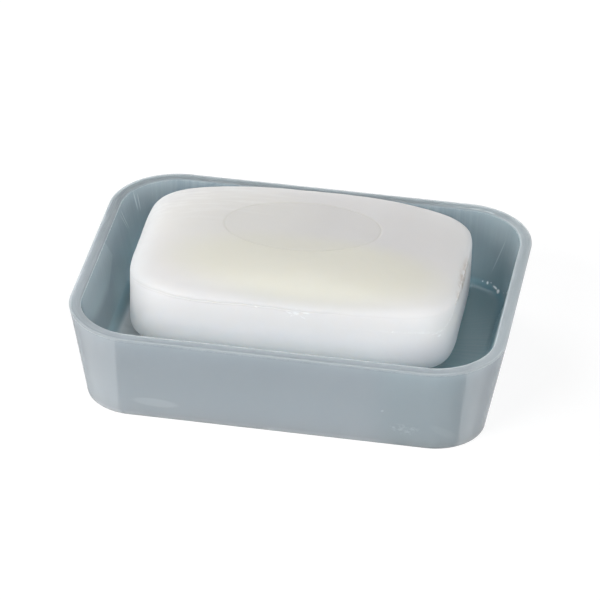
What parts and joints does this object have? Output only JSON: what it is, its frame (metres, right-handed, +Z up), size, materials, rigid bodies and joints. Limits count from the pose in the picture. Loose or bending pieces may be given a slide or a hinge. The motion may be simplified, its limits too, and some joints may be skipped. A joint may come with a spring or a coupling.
{
  "type": "soap dish with a bar of soap",
  "caption": "Open moulded soap dish with outward-leaning walls and round corners, holding a pillow-shaped bar of soap that lifts out.",
  "frame": {"origin": "on the ground, under the middle of the dish", "axes": "+X along the length, +Y to the long wall that the bar lies close to, +Z up"},
  "size_m": [0.1198, 0.0894, 0.0348],
  "materials": {
    "dish_plastic": "gloss moulded plastic, opaque blue-grey",
    "soap": "used soap, satin, ivory white"
  },
  "bodies": {
    "dish": {"dish": "dish_plastic"},
    "soap": {"soap_bar": "soap"}
  },
  "joints": [
    {"name": "soap_lift", "type": "slide", "parent": "dish", "child": "soap", "axis": [0, 0, 1], "range_m": [0, 0.04]}
  ]
}
